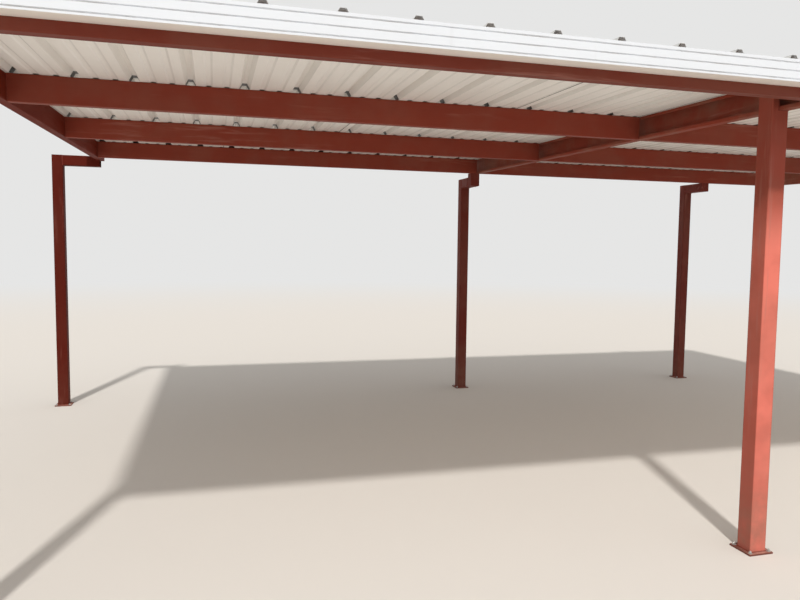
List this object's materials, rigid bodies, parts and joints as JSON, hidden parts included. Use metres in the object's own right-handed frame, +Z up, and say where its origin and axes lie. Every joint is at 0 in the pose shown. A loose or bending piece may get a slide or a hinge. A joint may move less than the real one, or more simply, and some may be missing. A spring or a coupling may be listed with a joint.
{
  "type": "carport",
  "caption": "Open steel carport with a low shed roof of white ribbed sheets, red C-section framing on square tube posts, and a front gutter.",
  "frame": {"origin": "on the floor, below the middle of the whole part's plan", "axes": "+X to the right seen from the front (the gutter side), +Y from the front to the back, +Z up"},
  "size_m": [8.702, 5.1132, 2.6979],
  "materials": {
    "frame_red": "satin oxide red paint over primer",
    "roof_white": "satin baked white paint, a little dusty",
    "gutter_white": "satin baked white paint",
    "zinc": "bright zinc plate on anchors, nuts and screw points",
    "washer_rubber": "black rubber under the screws' washers"
  },
  "bodies": {
    "root": {"arm_left": "frame_red", "arm_middle": "frame_red", "arm_right": "frame_red", "base_plate_front_left": "frame_red", "base_plate_front_middle": "frame_red", "base_plate_front_right": "frame_red", "base_plate_rear_left": "frame_red", "base_plate_rear_middle": "frame_red", "base_plate_rear_right": "frame_red", "downspout_offset": "gutter_white", "downspout_pipe": "gutter_white", "downspout_shoe": "gutter_white", "downspout_straps": "gutter_white", "front_beam": "frame_red", "front_post_left": "frame_red", "front_post_middle": "frame_red", "front_post_right": "frame_red", "gutter": "gutter_white", "gutter_cap_left": "gutter_white", "gutter_cap_right": "gutter_white", "gutter_outlet": "gutter_white", "gutter_straps": "gutter_white", "purlin_1_left": "frame_red", "purlin_1_right": "frame_red", "purlin_2_left": "frame_red", "purlin_2_right": "frame_red", "purlin_3_left": "frame_red", "purlin_3_right": "frame_red", "rafter_left": "frame_red", "rafter_middle": "frame_red", "rafter_right": "frame_red", "rake_trim_left": "gutter_white", "rake_trim_right": "gutter_white", "rear_post_left": "frame_red", "rear_post_middle": "frame_red", "rear_post_right": "frame_red", "roof_sheet_01": "roof_white", "roof_sheet_02": "roof_white", "roof_sheet_03": "roof_white", "roof_sheet_04": "roof_white", "roof_sheet_05": "roof_white", "roof_sheet_06": "roof_white", "roof_sheet_07": "roof_white", "roof_sheet_08": "roof_white", "roof_sheet_09": "roof_white", "roof_sheet_10": "roof_white", "stub_middle": "frame_red"}
  },
  "joints": []
}
